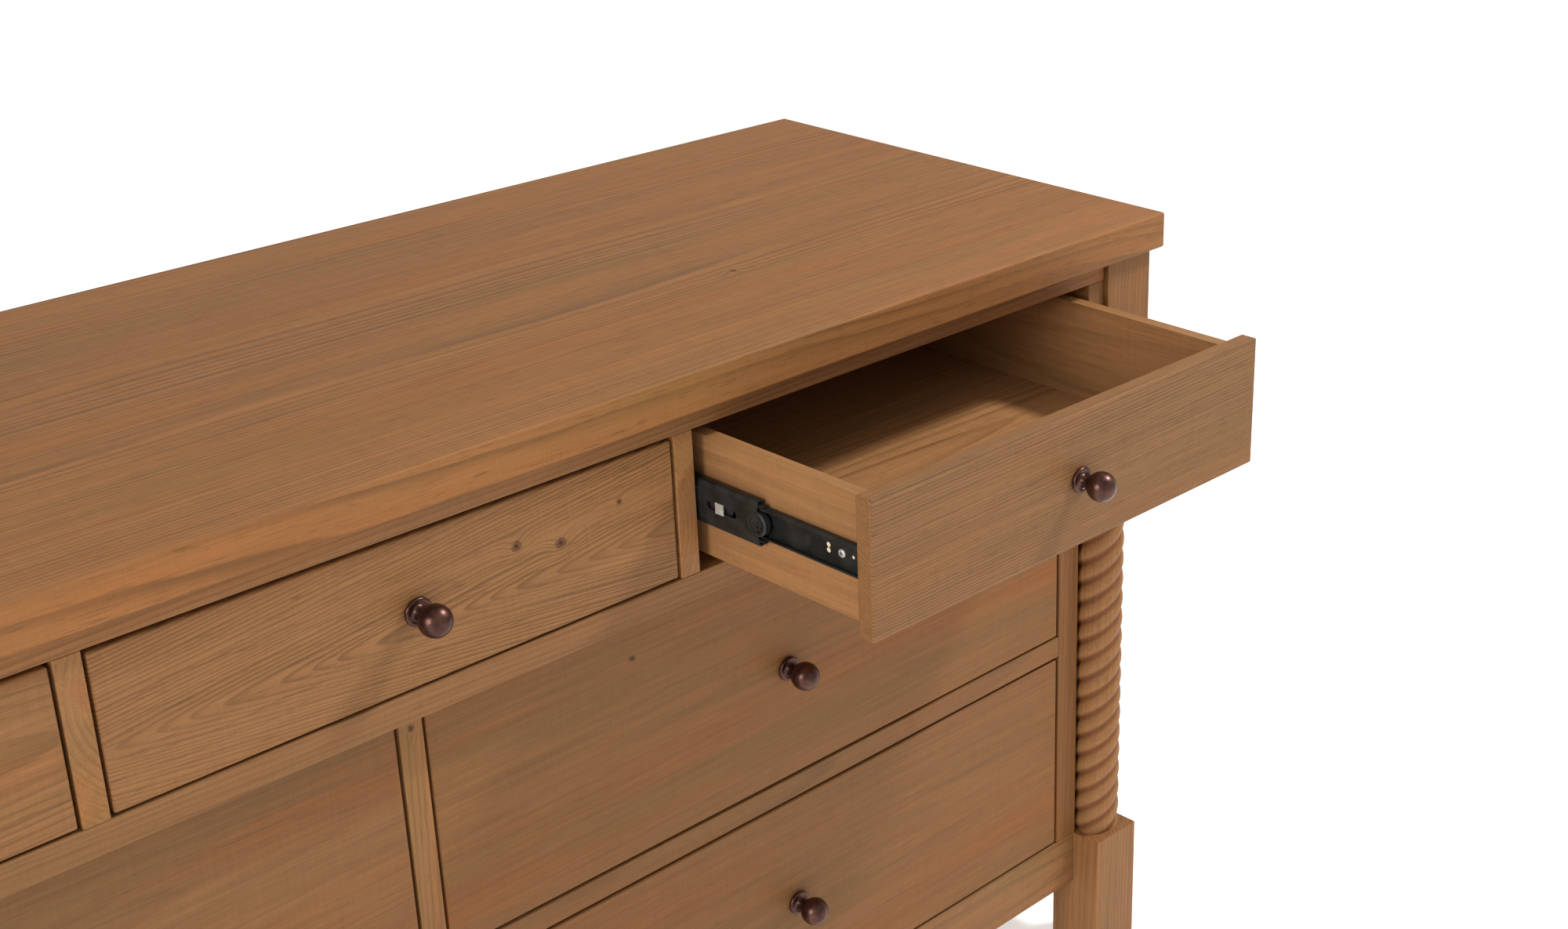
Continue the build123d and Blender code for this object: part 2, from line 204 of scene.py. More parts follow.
    # the saw leaves faint marks across the grain
    saw = t.math("SUBTRACT", t.noise(t.spread(local, 520.0, 26.0, plank_seed), 2.0, 0.6), 0.5)
    tone = t.math("MULTIPLY", t.math("ADD", tone, t.math("MULTIPLY", saw, 0.20)), get["Tone"])
    colour = t.node("ShaderNodeVectorMath", {0: colour, "Scale": tone}, operation="SCALE").outputs[0]
    colour = t.mix(get["Knot"], colour, KNOT_WOOD)
    t.node("NodeGroupOutput", {"Color": colour, "Late": late, "Fibre": fibre})
    return group


PINE = pine_grain()
print("pine grain group:", len(PINE.nodes), "nodes")

# %% [markdown]
# A knot is where a branch grew. It is a small dark disc, and the rings flow round it. This group
# gives both: how dark a point is, and how far the rings are pushed aside there.


# %% Knot group
def pine_knot():
    group = bpy.data.node_groups.new("pine_knot", "ShaderNodeTree")
    group.interface.new_socket("Vector", in_out="INPUT", socket_type="NodeSocketVector")
    for name in ("Along", "Across", "Radius"):
        group.interface.new_socket(name, in_out="INPUT", socket_type="NodeSocketFloat")
    for name in ("Push", "Knot"):
        group.interface.new_socket(name, in_out="OUTPUT", socket_type="NodeSocketFloat")
    t = Tree(group)
    get = t.node("NodeGroupInput").outputs
    place = t.node("ShaderNodeSeparateXYZ", {0: get["Vector"]}).outputs
    along = t.math("MULTIPLY", t.math("SUBTRACT", place["X"], get["Along"]), 0.8)
    across = t.math("SUBTRACT", place["Y"], get["Across"])
    away = t.math("SQRT", t.math("ADD", t.math("MULTIPLY", along, along),
                                 t.math("MULTIPLY", across, across)))
    ragged = t.math("MULTIPLY", t.noise(t.spread(get["Vector"], 300.0, 300.0), 2.0), 0.9)
    reach = t.math("DIVIDE", away, get["Radius"])
    knot = t.ease(t.math("ADD", reach, ragged), 0.9, 1.7, 1.0, 0.0)
    circles = t.math("SINE", t.math("MULTIPLY", reach, 9.0))
    core = t.math("MULTIPLY", knot, t.ease(circles, -1.0, 1.0, 0.62, 1.0))
    far = t.math("MULTIPLY", reach, 0.42)
    fall = t.math("EXPONENT", t.math("MULTIPLY", t.math("MULTIPLY", far, far), -1.0))
    push = t.math("MULTIPLY", get["Radius"], fall)
    t.node("NodeGroupOutput", {"Push": t.math("MULTIPLY", push, 1.6), "Knot": core})
    return group


KNOT = pine_knot()
print("knot group:", len(KNOT.nodes), "nodes")

# %% [markdown]
# ## One finish for each board
# All boards share the group, and each has its own numbers: which way its grain runs, how far the
# heart was, and where its knots are. The pattern is centred on the board. Where a node holds a
# pair of boards, one at each side, the distance from the middle is used, and a step in the seed
# keeps the two from being twins. The lacquer is satin: late wood stays a little smoother, and the
# fibres stand up by a few hundredths of a millimetre.

# %% Pine finish
AXES = {"X": 0, "Y": 1, "Z": 2}
# colour at the bottom of carved grooves: partly stain that collects there, partly painted shade
GROOVE_STAIN_AND_SHADE = paint(92, 46, 24)
GROOVE_SHADE_AND_STAIN_SHARE = 0.65      # how dark the bottom of a carved groove is painted: partly stain that stays there, partly painted shade
TWIN_STEP = 5.0          # step in the seed between the left and the right board of a pair
FIBRE_HEIGHT = 0.0004    # metres
SATIN_EARLY, SATIN_LATE = 0.56, 0.46     # roughness of early and late wood


def pine_finish(name, centre, grain, face, seed, pair=False, turn=None, knots=(), carved=False,
                **numbers):
    """A pine finish. Grain and face are the axes along the board and through its thickness. A turn is
    (level along Y, grain, face) for the boards of a node that lie behind that level."""
    material = bpy.data.materials.new(name)
    material.use_nodes = True
    t = Tree(material.node_tree)
    shader = material.node_tree.nodes["Principled BSDF"]
    point = t.node("ShaderNodeTexCoord").outputs["Object"]
    if pair:
        x, y, z = t.node("ShaderNodeSeparateXYZ", {0: point}).outputs
        seed_here = t.math("ADD", t.math("MULTIPLY", t.math("GREATER_THAN", x, 0.0), TWIN_STEP), seed)
        point = t.node("ShaderNodeCombineXYZ", {"X": t.math("ABSOLUTE", x), "Y": y, "Z": z}).outputs[0]
    moved = t.node("ShaderNodeMapping", {"Vector": point, "Location": [-c for c in centre]})
    centred = t.node("ShaderNodeSeparateXYZ", {0: moved.outputs[0]}).outputs

    def ordered(grain_axis, face_axis):
        side = ({"X", "Y", "Z"} - {grain_axis, face_axis}).pop()
        x, y, z = (centred[AXES[a]] for a in (grain_axis, side, face_axis))
        return t.node("ShaderNodeCombineXYZ", {"X": x, "Y": y, "Z": z}).outputs[0]

    vector = ordered(grain, face)
    if turn:
        behind = t.math("GREATER_THAN", centred[1], turn[0] - centre[1])
        mixed = t.node("ShaderNodeMix", {0: behind}, data_type="VECTOR")
        material.node_tree.links.new(vector, mixed.inputs[4])
        material.node_tree.links.new(ordered(*turn[1:]), mixed.inputs[5])
        vector = mixed.outputs[1]
    grain_node = t.node("ShaderNodeGroup", node_tree=PINE)
    material.node_tree.links.new(vector, grain_node.inputs["Vector"])
    if pair:
        material.node_tree.links.new(seed_here, grain_node.inputs["Seed"])
    else:
        grain_node.inputs["Seed"].default_value = seed
    for key, value in numbers.items():
        grain_node.inputs[key.title()].default_value = value
    push = knot = 0.0
    for along, across, radius in knots:
        one = t.node("ShaderNodeGroup", node_tree=KNOT)
        material.node_tree.links.new(vector, one.inputs["Vector"])
        for key, value in (("Along", along), ("Across", across), ("Radius", radius)):
            one.inputs[key].default_value = value
        push = t.math("ADD", one.outputs["Push"], push)
        knot = t.math("MAXIMUM", one.outputs["Knot"], knot)
    if knots:
        material.node_tree.links.new(push, grain_node.inputs["Push"])
        material.node_tree.links.new(knot, grain_node.inputs["Knot"])
    height = t.math("SUBTRACT", t.math("MULTIPLY", grain_node.outputs["Fibre"], 0.5),
                    t.math("MULTIPLY", grain_node.outputs["Late"], 0.5))
    bump = t.node("ShaderNodeBump", {"Height": height, "Strength": 0.35, "Distance": FIBRE_HEIGHT})
    rough = t.ease(grain_node.outputs["Late"], 0.0, 1.0, SATIN_EARLY, SATIN_LATE)
    colour = grain_node.outputs["Color"]
    if carved:
        # carved grooves are painted darker at the bottom: stain plus painted shade
        hollow = t.node("ShaderNodeAttribute", attribute_name="hollow").outputs["Fac"]
        colour = t.mix(t.ease(hollow, 0.2, 0.8, 0.0, GROOVE_SHADE_AND_STAIN_SHARE), colour, GROOVE_STAIN_AND_SHADE)
    material.node_tree.links.new(colour, shader.inputs["Base Color"])
    material.node_tree.links.new(rough, shader.inputs["Roughness"])
    material.node_tree.links.new(bump.outputs[0], shader.inputs["Normal"])
    shader.inputs["IOR"].default_value = 1.45
    shader.inputs["Specular IOR Level"].default_value = 0.18
    return material


def middle_of(node, pair=False):
    """The centre of a node's box, or of its right-hand half if it holds a pair."""
    low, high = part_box(node)
    centre = (low + high) / 2
    if pair:
        centre.x = high.x
    return centre


def dress(node, grain, face, seed, pair=False, **numbers):
    """Gives a CAD node its own pine finish."""
    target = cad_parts[node]
    finish = pine_finish("pine_" + node, middle_of(node, pair), grain, face, seed, pair, **numbers)
    target.data.materials.clear()
    target.data.materials.append(finish)


# %% [markdown]
# ## The case
# The top is made of planks glued edge to edge, about 13 cm wide, with long quiet figure and a few
# warm bands. Rails run left to right, stiles, blocks, legs and posts run upwards, and the decks
# inside are plain.

# %% Finishes of the case
dress("top_board", "X", "Z", 1.0, plank=0.131, ring=0.0040, depth=0.06, heart=0.08, taper=0.008, wander=0.014,
      lines=0.66, orange=0.38, olive=0.35, tone=0.99, warmth=0.75, knots=[(0.428, -0.097, 0.003)])
dress("top_rail", "X", "Y", 2.0, ring=0.004, depth=0.06, lines=0.45, heart=0.05)
# tone 0.86 darkens the middle rail: painted shade of the lower tier under the open drawer
dress("middle_rail", "X", "Y", 3.0, ring=0.004, depth=0.07, lines=0.35, heart=-0.05, orange=0.20, tone=0.86,
      warmth=0.1)
dress("lower_rails", "X", "Y", 4.0, ring=0.004, depth=0.07, lines=0.35, plank=0.09, orange=0.4, tone=0.82)
dress("base_rail", "X", "Y", 5.0, ring=0.005, depth=0.06, lines=0.5)
dress("centre_stile", "Z", "Y", 6.0, ring=0.0035, depth=0.06, lines=0.45, heart=0.03, tone=1.05,
      knots=[(0.2137, 0.0, 0.0026)])
# tone 0.70 darkens the corner stiles: painted shade of the set-back lower tier
dress("corner_stiles", "Z", "Y", 7.0, pair=True, ring=0.004, depth=0.07, lines=0.25, heart=0.04, orange=0.3,
      tone=0.70, warmth=0.9)
dress("corner_blocks", "Z", "Y", 8.0, pair=True, ring=0.0045, depth=0.07, lines=0.35, heart=0.04,
      orange=0.3, tone=0.90, warmth=0.7)
dress("front_legs", "Z", "Y", 9.0, pair=True, ring=0.0045, depth=0.07, lines=0.40, heart=0.04)
dress("rear_posts", "Z", "X", 10.0, pair=True, ring=0.0045, depth=0.07, lines=0.40, heart=0.03)
dress("side_panels", "Z", "X", 11.0, pair=True, plank=0.12, ring=0.0045, depth=0.08, lines=0.45)
dress("back_panel", "X", "Y", 12.0, plank=0.40, ring=0.009, depth=0.12, lines=0.35)
dress("decks", "X", "Z", 13.0, plank=0.14, ring=0.005, depth=0.08, lines=0.40)
dress("partitions", "Y", "X", 14.0, pair=True, plank=0.12, ring=0.0045, depth=0.08, lines=0.40, orange=0.4,
      tone=1.12)
dress("slide_cleats", "Y", "X", 15.0, pair=True, ring=0.0045, depth=0.06, lines=0.40)
print("case finishes:", len([m for m in bpy.data.materials if m.name.startswith("pine_")]))

# %% [markdown]
# ## The drawers
# Fronts run left to right and each has its own figure: one small front shows a full cathedral with
# two knots, and the wide fronts are quieter and warmer. The sides of a drawer run front to back
# while its back runs across, so that finish turns at the back board.

# %% Finishes of the drawers
FRONT_FIGURE = {
    "top_left": dict(ring=0.0048, depth=0.05, heart=0.01, taper=0.04, lines=0.60,
                     knots=[(0.12, 0.02, 0.0035)]),
    "top_middle": dict(ring=0.0032, depth=0.014, heart=-0.0125, taper=-0.11, wander=0.020, lines=0.78,
                       orange=0.20, olive=0.30, tone=1.00, warmth=0.3,
                       knots=[(0.086, 0.020, 0.0040), (0.1245, 0.0095, 0.0042), (0.180, 0.0245, 0.0022)]),
    "top_right": dict(ring=0.0027, depth=0.045, heart=0.09, taper=0.006, wander=0.007, lines=0.72,
                      orange=0.15, olive=0.50, tone=0.98, warmth=0.15),
    # the middle fronts are toned darker (0.80 and 0.77): painted shade of the set-back row under the open
    # drawer and the middle rail
    "middle_left": dict(ring=0.0060, depth=0.07, heart=0.05, taper=0.02, lines=0.20, orange=0.5, tone=0.80),
    "middle_right": dict(ring=0.0055, depth=0.09, heart=0.06, taper=0.016, wander=0.022, lines=0.18,
                         orange=0.60, olive=0.5, tone=0.77, warmth=0.6,
                         knots=[(-0.162, 0.073, 0.0026)]),
    "bottom_left": dict(ring=0.0055, depth=0.06, heart=-0.03, taper=-0.03, lines=0.36, orange=0.7,
                        knots=[(0.21, -0.03, 0.005)], tone=0.88),
    "bottom_right": dict(ring=0.0058, depth=0.07, heart=0.02, taper=0.02, lines=0.24, orange=0.5, olive=0.5,
                         tone=0.77, warmth=0.6),
}
BACK_BOARD = 12.0 * MM
for number, drawer in enumerate(DRAWERS):
    dress(f"{drawer}_front", "X", "Y", 20.0 + number, **FRONT_FIGURE[drawer])
    box_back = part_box(f"{drawer}_box")[1].y - BACK_BOARD
    dress(f"{drawer}_box", "Y", "X", 30.0 + number, turn=(box_back, "X", "Y"), ring=0.0045, depth=0.09,
          taper=0.008, lines=0.30, orange=0.12, olive=0.2, tone=1.24, warmth=0.1)
    dress(f"{drawer}_bottom", "X", "Z", 40.0 + number, plank=0.42, ring=0.0050, depth=0.05, taper=0.012,
          lines=0.85, orange=0.1, olive=0.4, tone=1.66, warmth=0.1)
print("drawer fronts dressed:", len(DRAWERS))

# %% [markdown]
# ## Metals
# The knobs are dark oil-rubbed bronze: brown-black where the patina is whole and coppery where
# hands have rubbed it. The runners are steel with black zinc, the screws and the release tab are
# bright zinc, and the bearing cage is black plastic. The same black finish is painted shade in the
# cross recess of each screw and behind the slot of each middle channel. Each has a little
# unevenness in its gloss, because a single flat value looks like plastic.


# %% Metal finishes
def metal_finish(name, dark, light, metallic, rough_low, rough_high, scale, bump=0.0, specular=0.5):
    """A finish that drifts between two colours and two levels of gloss."""
    material = bpy.data.materials.new(name)
    material.use_nodes = True
    t = Tree(material.node_tree)
    shader = material.node_tree.nodes["Principled BSDF"]
    point = t.node("ShaderNodeTexCoord").outputs["Object"]
    cloud = t.noise(t.spread(point, scale, scale), 3.0, 0.6)
    colour = t.mix(t.ease(cloud, 0.35, 0.68), dark, light)
    material.node_tree.links.new(colour, shader.inputs["Base Color"])
    material.node_tree.links.new(t.ease(cloud, 0.3, 0.7, rough_low, rough_high), shader.inputs["Roughness"])
    if bump:
        grit = t.noise(t.spread(point, scale * 12, scale * 12), 2.0)
        lift = t.node("ShaderNodeBump", {"Height": grit, "Strength": 0.3, "Distance": bump})
        material.node_tree.links.new(lift.outputs[0], shader.inputs["Normal"])
    shader.inputs["Metallic"].default_value = metallic
    shader.inputs["Specular IOR Level"].default_value = specular
    return material


BRONZE = metal_finish("oil_rubbed_bronze", paint(66, 42, 37), paint(94, 64, 54),
                      0.85, 0.27, 0.36, 90.0)
BLACK_STEEL = metal_finish("black_zinc_steel", paint(38, 40, 38), paint(54, 56, 54),
                           0.55, 0.34, 0.46, 60.0, 0.00002)
BRIGHT_ZINC = metal_finish("bright_zinc", paint(196, 196, 190), paint(222, 221, 216),
                           0.55, 0.30, 0.42, 160.0)
# black plastic for the bearing cage; the same finish is painted shade in the cross recess of each screw and
# behind each slot
BLACK_PLASTIC_AND_SHADE = metal_finish("cage_plastic", paint(26, 27, 27), paint(36, 37, 37), 0.0, 0.36, 0.46, 120.0)
# a pale finish for the discs that fill the holes of the drawer channels, so the holes read bright
PALE_HOLE_FILL = metal_finish("bare_wood", paint(222, 200, 176), paint(236, 220, 200), 0.0, 0.5, 0.7, 300.0)
print("metal finishes made")

# %% [markdown]
# ## Meshes from a few numbers
# Turned pieces are an outline spun round an axis, and folded steel is a thin strip pushed along a
# line. Both are written once here as plain mesh code, and a Solid gathers the shells of one piece,
# each with its finish, so a piece stays one object.


# %% Mesh helpers
class Solid:
    """Closed shells that make up one piece, in the frame's metres."""

    def __init__(self, name, *finishes):
        self.mesh = bmesh.new()
        self.name, self.finishes = name, finishes

    def add(self, points, faces, finish=0, place=Matrix.Identity(4)):
        corners = [self.mesh.verts.new(place @ Vector(p)) for p in points]
        made = []
        for face in faces:
            kept = list(dict.fromkeys(face))
            made.append(self.mesh.faces.new([corners[i] for i in kept]))
            made[-1].material_index = finish
        bmesh.ops.recalc_face_normals(self.mesh, faces=made)

    def finish(self, smooth_below=40):
        mesh = bpy.data.meshes.new(self.name)
        self.mesh.to_mesh(mesh)
        self.mesh.free()
        for material in self.finishes:
            mesh.materials.append(material)
        mesh.shade_smooth()
        mesh.set_sharp_from_angle(angle=math.radians(smooth_below))
        made = bpy.data.objects.new(self.name, mesh)
        bpy.context.scene.collection.objects.link(made)
        return made


def arc(centre, radius, start, end, steps):
    """Points on an arc, angles in degrees."""
    turn = [math.radians(start + (end - start) * i / steps) for i in range(steps + 1)]
    return [(centre[0] + radius * math.cos(a), centre[1] + radius * math.sin(a)) for a in turn]


def turned(outline, sides=48):
    """An outline of (radius, distance) spun round Z. It starts and ends on the axis."""
    points, faces = [(0, 0, outline[0][1])], []
    for radius, distance in outline[1:-1]:
        points += [(radius * math.cos(math.tau * i / sides), radius * math.sin(math.tau * i / sides),
                    distance) for i in range(sides)]
    points.append((0, 0, outline[-1][1]))
    rows, last = len(outline) - 2, len(points) - 1
    for i in range(sides):
        j = (i + 1) % sides
        faces.append((0, 1 + j, 1 + i))
        faces.append((last, 1 + (rows - 1) * sides + i, 1 + (rows - 1) * sides + j))
        for row in range(rows - 1):
            a, b = 1 + row * sides, 1 + (row + 1) * sides
            faces.append((a + i, a + j, b + j, b + i))
    return points, faces


def strip(outline, start, end):
    """A closed outline of (x, z) pushed along Y."""
    count = len(outline)
    points = [(x, y, z) for y in (start, end) for x, z in outline]
    faces = [tuple(range(count)), tuple(range(2 * count - 1, count - 1, -1))]
    faces += [(i, (i + 1) % count, (i + 1) % count + count, i + count) for i in range(count)]
    return points, faces


def folded(line, thick):
    """The closed outline of a sheet whose middle follows a line of (x, z) points."""
    sides = ([], [])
    for i, (x, z) in enumerate(line):
        before, after = line[max(i - 1, 0)], line[min(i + 1, len(line) - 1)]
        away = Vector((before[1] - after[1], after[0] - before[0])).normalized() * thick / 2
        sides[0].append((x + away.x, z + away.y))
        sides[1].append((x - away.x, z - away.y))
    return sides[0] + sides[1][::-1]


def install(piece, body, slot, *nodes):
    """The piece rides on a body and stands for CAD nodes."""
    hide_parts(*nodes)
    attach(piece, body)
    return piece


print("mesh helpers ready")

# %% [markdown]
# ## Rope-twist columns
# The columns are carved: four rounded strands climb round a post and a narrow groove lies between
# them. The shape follows a rule, radius from angle and height, so Geometry Nodes suit it: a fine
# cylinder whose points move in or out with the wave. Sculpting it would give uneven strands.


# %% Column tree
def twist_tree():
    group = bpy.data.node_groups.new("rope_twist", "GeometryNodeTree")
    face = group.interface
    face.new_socket("Geometry", in_out="OUTPUT", socket_type="NodeSocketGeometry")
    for name, kind, value in (
            ("Radius", "Float", 0.024), ("Height", "Float", 0.4), ("Strands", "Float", 4.0),
            ("Pitch", "Float", 0.0216), ("Groove", "Float", 0.003), ("Around", "Int", 96),
            ("Rows", "Int", 300)):
        face.new_socket(name, in_out="INPUT", socket_type=f"NodeSocket{kind}").default_value = value
    face.new_socket("Finish", in_out="INPUT", socket_type="NodeSocketMaterial")
    t = Tree(group)
    get = t.node("NodeGroupInput").outputs
    post = t.node("GeometryNodeMeshCylinder", {"Vertices": get["Around"], "Side Segments": get["Rows"],
                                               "Radius": get["Radius"], "Depth": get["Height"]})
    place = t.node("ShaderNodeSeparateXYZ", {0: t.node("GeometryNodeInputPosition").outputs[0]}).outputs
    angle = t.math("ARCTAN2", place["Y"], place["X"])
    climb = t.math("MULTIPLY", t.math("DIVIDE", place["Z"], get["Pitch"]), math.tau)
    phase = t.math("SUBTRACT", t.math("MULTIPLY", angle, get["Strands"]), climb)
    wave = t.math("COSINE", t.math("MULTIPLY", phase, 0.5))
    strand = t.math("SQRT", t.math("ADD", t.math("MULTIPLY", wave, wave), 0.05))
    hollow = t.math("SUBTRACT", 1.025, strand)
    depth = t.math("MULTIPLY", hollow, get["Groove"])
    share = t.math("SUBTRACT", 1.0, t.math("DIVIDE", depth, get["Radius"]))
    moved = t.node("ShaderNodeCombineXYZ", {"X": t.math("MULTIPLY", place["X"], share),
                                            "Y": t.math("MULTIPLY", place["Y"], share), "Z": place["Z"]})
    carved = t.node("GeometryNodeSetPosition", {"Geometry": post.outputs["Mesh"], "Position": moved.outputs[0]})
    stored = t.node("GeometryNodeStoreNamedAttribute", {"Geometry": carved.outputs[0], "Name": "hollow",
                                                        "Value": hollow}, data_type="FLOAT", domain="POINT")
    real = t.node("GeometryNodeRealizeInstances", {"Geometry": stored.outputs[0]})
    painted = t.node("GeometryNodeSetMaterial", {"Geometry": real.outputs[0], "Material": get["Finish"]})
    t.node("NodeGroupOutput", {"Geometry": painted.outputs[0]})
    return group


def grown(name, tree, inputs, source=None):
    """Runs a Geometry Nodes tree on a mesh of points and returns the result as a plain mesh object."""
    mesh = source or bpy.data.meshes.new(name + "_seed")
    holder = bpy.data.objects.new(name + "_holder", mesh)
    bpy.context.scene.collection.objects.link(holder)
    modifier = holder.modifiers.new("grow", "NODES")
    modifier.node_group = tree
    for item in tree.interface.items_tree:
        if item.in_out == "INPUT" and item.name in inputs:
            modifier[item.identifier] = inputs[item.name]
    graph = bpy.context.evaluated_depsgraph_get()
    result = bpy.data.meshes.new_from_object(holder.evaluated_get(graph), depsgraph=graph)
    holder.modifiers.remove(modifier)
    bpy.data.objects.remove(holder)
    result.name = name
    made = bpy.data.objects.new(name, result)
    bpy.context.scene.collection.objects.link(made)
    return made


TWIST = twist_tree()
print("rope twist tree:", len(TWIST.nodes), "nodes")

# %% Columns
TWIST_SHAPE = {"Strands": 4.0, "Pitch": 21.6 * MM, "Groove": 4.0 * MM, "Around": 96, "Rows": 360}
for side, seed in (("left", 51.0), ("right", 52.0)):
    node = f"twist_column_{side}"
    low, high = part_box(node)
    centre = (low + high) / 2
    finish = pine_finish("pine_" + node, centre, "Z", "Y", seed, ring=0.005, depth=0.05, heart=0.01,
                         lines=0.25, orange=0.2, olive=0.4, tone=1.08, carved=True)
    column = grown(f"rope_{side}", TWIST, {
        **TWIST_SHAPE, "Radius": (high.x - low.x) / 2, "Height": high.z - low.z, "Finish": finish})
    column.data.transform(Matrix.Translation(centre))
    column.data.shade_smooth()
    column.data.set_sharp_from_angle(angle=math.radians(60))
    install(column, "carcass", "case_wood", node)
    print(column.name, len(column.data.polygons), "faces")

# %% [markdown]
# ## Knobs
# Each knob is turned from one bar: a rosette with a rolled rim and a dished face, a thin neck and
# a ball. It is an outline spun round an axis. The screw that holds it shows inside the drawer as a
# pan head with a cross recess; the recess is two dark bars, painted shade.

# %% Knobs
BALL_RADIUS, BALL_OUT = 12.4, 22.0
ROSETTE_RADIUS, RIM, NECK = 11.1, 1.9, 4.0


def knob_outline():
    """(radius, distance from the drawer's face) in millimetres, from the foot to the tip of the ball."""
    rim_middle = ROSETTE_RADIUS - RIM
    rim = arc((rim_middle, RIM), RIM, -90, 165, 14)
    dish = [(rim_middle - 2.4, 2.3), (6.2, 2.6), (5.4, 3.2), (4.7, 4.4), (4.2, 6.0), (NECK, 7.6), (NECK, 9.4)]
    meet = math.degrees(math.asin(4.6 / BALL_RADIUS))
    ball = [(r, BALL_OUT - d) for d, r in arc((0, 0), BALL_RADIUS, meet, 180, 30)]
    foot = [(0.0, 0.0), (rim_middle, 0.0)]
    return foot + rim[1:] + dish + [(4.3, 10.1)] + ball[:-1] + [(0.0, ball[-1][1])]


def screw_head(radius, height):
    """Outline of a pan head from its seat to its domed top."""
    dome = [(radius * 0.82, height * 0.86), (radius * 0.5, height * 0.97)]
    edge = [(0, 0), (radius * 0.97, 0.0), (radius, height * 0.3), (radius * 0.95, height * 0.62)]
    return edge + dome + [(0, height)]


def crossed(radius, level, arm, depth):
    """Two thin bars that lie in a screw head where its cross recess is; in a dark finish they are its painted
    shade.
    """
    half = arm / 2
    shells = []
    for turn in (0.0, 90.0):
        bar = [(-radius, -half), (radius, -half), (radius, half), (-radius, half)]
        points = [(x, y, z) for z in (level - depth, level) for x, y in bar]
        faces = [(3, 2, 1, 0), (4, 5, 6, 7)] + [(i, (i + 1) % 4, (i + 1) % 4 + 4, i + 4) for i in range(4)]
        spin = Matrix.Rotation(math.radians(turn), 4, "Z")
        shells.append(([tuple(spin @ Vector(p)) for p in points], faces))
    return shells


OUTLINE = [(r * MM, d * MM) for r, d in knob_outline()]
for drawer in DRAWERS:
    low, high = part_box(f"{drawer}_knob")
    face_low, face_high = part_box(f"{drawer}_front")
    centre = (low + high) / 2
    seat = Matrix.Translation((centre.x, face_low.y, centre.z)) @ Matrix.Rotation(math.radians(90), 4, "X")
    inside = Matrix.Translation((centre.x, face_high.y, centre.z)) @ Matrix.Rotation(math.radians(-90), 4, "X")
    piece = Solid(f"knob_{drawer}", BRONZE, BRIGHT_ZINC, BLACK_PLASTIC_AND_SHADE)
    piece.add(*turned(OUTLINE), 0, seat)
    piece.add(*turned([(r * MM, d * MM) for r, d in screw_head(4.2, 2.3)], 24), 1, inside)
    # dark bars in the screw head: painted shade of the cross recess
    for shell in crossed(2.1 * MM, 2.36 * MM, 0.9 * MM, 0.5 * MM):
        piece.add(*shell, 2, inside)
    install(piece.finish(), f"{drawer}_drawer", "bronze", f"{drawer}_knob")
print("knobs:", len(DRAWERS), "of", len(OUTLINE), "outline points")

# %% [markdown]
# ## Folded steel runners
# Each side of a drawer has three nested channels, folded from strip with curled edges where the
# balls run. One is screwed to the case, one floats between, and one is screwed to the drawer. A
# real channel is a bent sheet, so each is a thin strip drawn along a bent line and pushed along
# the slide. Openings are cut with a boolean, as a press would punch them.

# %% Channel outlines
STEEL = 1.2
CASE_LINE = [(10.0, 20.6), (9.2, 21.7), (7.6, 22.3), (2.4, 22.4), (1.0, 22.0), (0.6, 20.8)]
MIDDLE_LINE = [(10.3, 16.6), (9.6, 17.8), (8.2, 18.5), (5.8, 18.6), (4.6, 18.0), (4.2, 16.8), (4.2, 13.9),
               (3.9, 13.2), (3.2, 12.6)]
DRAWER_LINE = [(6.1, 11.0), (6.7, 12.1), (8.2, 12.8), (10.6, 12.8), (11.7, 12.2), (12.1, 11.0)]


def channel_outline(half_line):
    """The closed outline of a channel, from the line of its upper half."""
    line = half_line + [(x, -z) for x, z in reversed(half_line)]
    return [(x * MM, z * MM) for x, z in folded(line, STEEL)]


CASE_CHANNEL, MIDDLE_CHANNEL, DRAWER_CHANNEL = (
    channel_outline(line) for line in (CASE_LINE, MIDDLE_LINE, DRAWER_LINE))
print("channel outlines:", len(CASE_CHANNEL), len(MIDDLE_CHANNEL), len(DRAWER_CHANNEL), "points")


# %% Punching
def oblong(length, height, steps=8):
    """A stadium outline, long way along X."""
    reach = (length - height) / 2
    right = arc((reach, 0), height / 2, -90, 90, steps)
    return right + [(-x, -y) for x, y in right]


def bar_along_x(outline, start, end):
    """A closed outline of (y, z) pushed along X."""
    points, faces = strip(outline, start, end)
    return [(y, x, z) for x, y, z in points], faces


def punched(piece, cutter):
    """Cuts one object out of another and returns the result as a plain mesh."""
    cut = piece.modifiers.new("punch", "BOOLEAN")
    cut.operation, cut.solver, cut.object = "DIFFERENCE", "EXACT", cutter
    cut.material_mode = "TRANSFER"
    graph = bpy.context.evaluated_depsgraph_get()
    mesh = bpy.data.meshes.new_from_object(piece.evaluated_get(graph), depsgraph=graph)
    piece.modifiers.remove(cut)
    old = piece.data
    piece.data = mesh
    bpy.data.meshes.remove(old)
    bpy.data.objects.remove(cutter)
    mesh.name = piece.name
    mesh.shade_smooth()
    mesh.set_sharp_from_angle(angle=math.radians(40))
    return piece


MIDDLE_GAP = 2.6         # between the case and the middle channel


def side_places(drawer):
    """Where the slides of one drawer stand: for each side, the case's face and the way to the drawer."""
    low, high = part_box(f"{drawer}_mid_slides")
    gap = MIDDLE_GAP * MM
    return (low.x - gap, 1.0), (high.x + gap, -1.0)


def at_side(x, way, y, z):
    """Turns a piece made for the left-hand slide into place at either side."""
    return Matrix.Translation((x, y, z)) @ Matrix.Diagonal((way, 1, 1, 1))


print("punch ready")

# %% [markdown]
# The outer channels stay in the case, all fourteen of them in one piece. The middle channel of
# each slide has a raised band along its web, a slot with a bright release tab, and a round black
# cage that holds the balls at its front end. The balls repeat along the cage, so a small Geometry
# Nodes tree sets them out.


